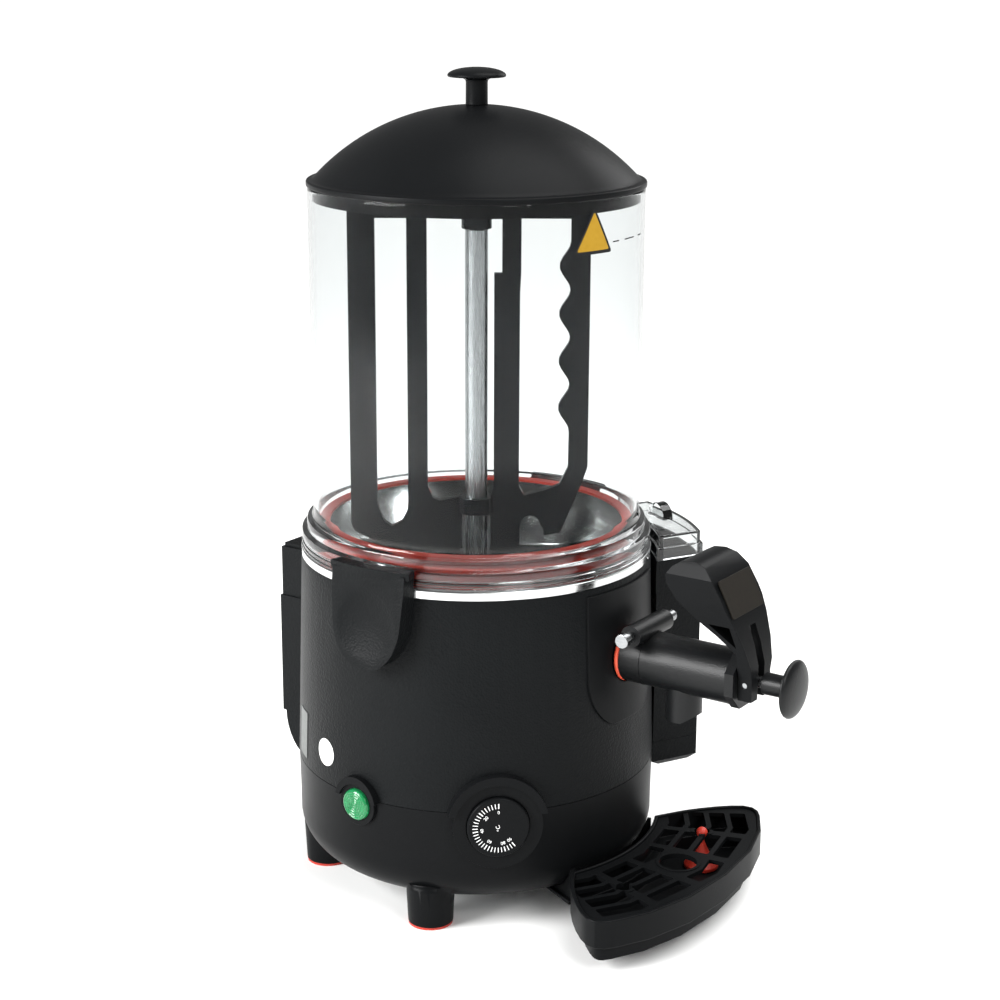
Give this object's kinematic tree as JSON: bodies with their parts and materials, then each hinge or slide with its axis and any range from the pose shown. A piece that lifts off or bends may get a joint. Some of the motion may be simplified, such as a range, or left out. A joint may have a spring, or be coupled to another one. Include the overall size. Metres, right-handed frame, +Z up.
{
  "type": "heated drink dispenser",
  "caption": "Countertop heated drink dispenser with a clear cylindrical bowl, stirring paddle, domed lid, front lever tap, drip tray, side water filler and thermostat dial.",
  "frame": {"origin": "on the counter, under the axis of the round body and at the centre of the ring of feet", "axes": "+Z up along the body's axis, -Y towards the tap, +X to the right of someone facing the tap"},
  "size_m": [0.2989, 0.4295, 0.58],
  "materials": {
    "grained_black": "fine leather grain",
    "satin_black": "satin",
    "gloss_black": "gloss",
    "brushed_steel": "brushed",
    "plated_steel": "bright",
    "red_silicone": "smooth",
    "clear_plastic": "clear",
    "green_lens": "translucent",
    "motor_grey": "painted",
    "switch_brown": "moulded",
    "label": "printed film"
  },
  "bodies": {
    "machine": {"base_shell": "satin_black", "foot_pads": "red_silicone", "base_plate": "plated_steel", "base_screws": "plated_steel", "body_shell": "grained_black", "top_ring": "brushed_steel", "tap_escutcheon": "satin_black", "side_handle_left": "grained_black", "side_handle_right": "grained_black", "water_tank": "brushed_steel", "product_pan": "brushed_steel", "outlet_tube": "brushed_steel", "outlet_seal": "red_silicone", "heating_element": "brushed_steel", "thermostat": "switch_brown", "gear_motor": "motor_grey", "motor_bracket": "brushed_steel", "motor_screws": "plated_steel", "tank_drain_plug": "red_silicone", "centre_tube": "brushed_steel", "shaft_seal": "red_silicone", "bowl_gasket": "red_silicone", "tap_body": "satin_black", "tap_o_ring": "red_silicone", "tap_spring": "brushed_steel", "tray_bracket": "satin_black", "filler_box": "grained_black", "filler_base": "grained_black", "rear_housing": "grained_black", "rear_cap": "grained_black", "rear_screws": "plated_steel", "cord_gland": "satin_black", "dial_bezel": "satin_black", "button_bezel": "satin_black", "power_switch": "switch_brown", "rating_plate": "label"},
    "stirrer": {"drive_shaft": "brushed_steel", "paddle": "gloss_black", "paddle_hub": "gloss_black"},
    "bowl": {"bowl": "clear_plastic"},
    "lid": {"lid": "satin_black", "lid_knob": "satin_black", "lid_knob_screw": "plated_steel"},
    "piston": {"tap_piston": "brushed_steel", "piston_seal": "red_silicone", "tap_knob": "satin_black", "lever_pin": "plated_steel"},
    "lever": {"tap_lever": "satin_black", "lever_badge": "label"},
    "lock_pin": {"lock_pin": "plated_steel"},
    "tray": {"drip_tray": "satin_black"},
    "grille": {"drip_grille": "satin_black"},
    "float": {"tray_float": "red_silicone"},
    "filler_lid": {"filler_lid": "clear_plastic"},
    "dial": {"dial": "satin_black"},
    "button": {"power_button": "green_lens"}
  },
  "joints": [
    {"name": "paddle_spin", "type": "hinge", "parent": "machine", "child": "stirrer", "pos_m": [0, 0, 0], "axis": [0, 0, 1], "continuous": true},
    {"name": "bowl_lift", "type": "slide", "parent": "machine", "child": "bowl", "axis": [0, 0, 1], "range_m": [0, 0.26]},
    {"name": "lid_lift", "type": "slide", "parent": "bowl", "child": "lid", "axis": [0, 0, 1], "range_m": [0, 0.15]},
    {"name": "piston_slide", "type": "slide", "parent": "machine", "child": "piston", "axis": [0, -1, 0], "range_m": [0, 0.008], "deforming": ["tap_spring"]},
    {"name": "lever_tilt", "type": "hinge", "parent": "piston", "child": "lever", "pos_m": [0, -0.225, 0.187], "axis": [1, 0, 0], "range_deg": [0, 18], "stiffness_Nm_per_rad": 1.5, "springref_deg": -11.46},
    {"name": "lock_pin_pull", "type": "slide", "parent": "machine", "child": "lock_pin", "axis": [-1, 0, 0], "range_m": [0, 0.07]},
    {"name": "tray_pull", "type": "slide", "parent": "machine", "child": "tray", "axis": [0, -1, 0], "range_m": [0, 0.12]},
    {"name": "grille_lift", "type": "slide", "parent": "tray", "child": "grille", "axis": [0, 0, 1], "range_m": [0, 0.05]},
    {"name": "float_rise", "type": "slide", "parent": "tray", "child": "float", "axis": [0, 0, 1], "range_m": [0, 0.012]},
    {"name": "filler_lid_lift", "type": "slide", "parent": "machine", "child": "filler_lid", "axis": [0, 0, 1], "range_m": [0, 0.06]},
    {"name": "dial_turn", "type": "hinge", "parent": "machine", "child": "dial", "pos_m": [0, 0, 0.083], "axis": [-0.7524, -0.6587, 0], "range_deg": [-225, 0]},
    {"name": "button_push", "type": "slide", "parent": "machine", "child": "button", "axis": [0.9976, -0.0698, 0], "range_m": [0, 0.003], "stiffness_N_per_m": 500, "springref_m": -0.001}
  ],
  "couplings": [
    {"joint": "piston_slide", "follows": "lever_tilt", "m_per_rad": 0.025}
  ]
}
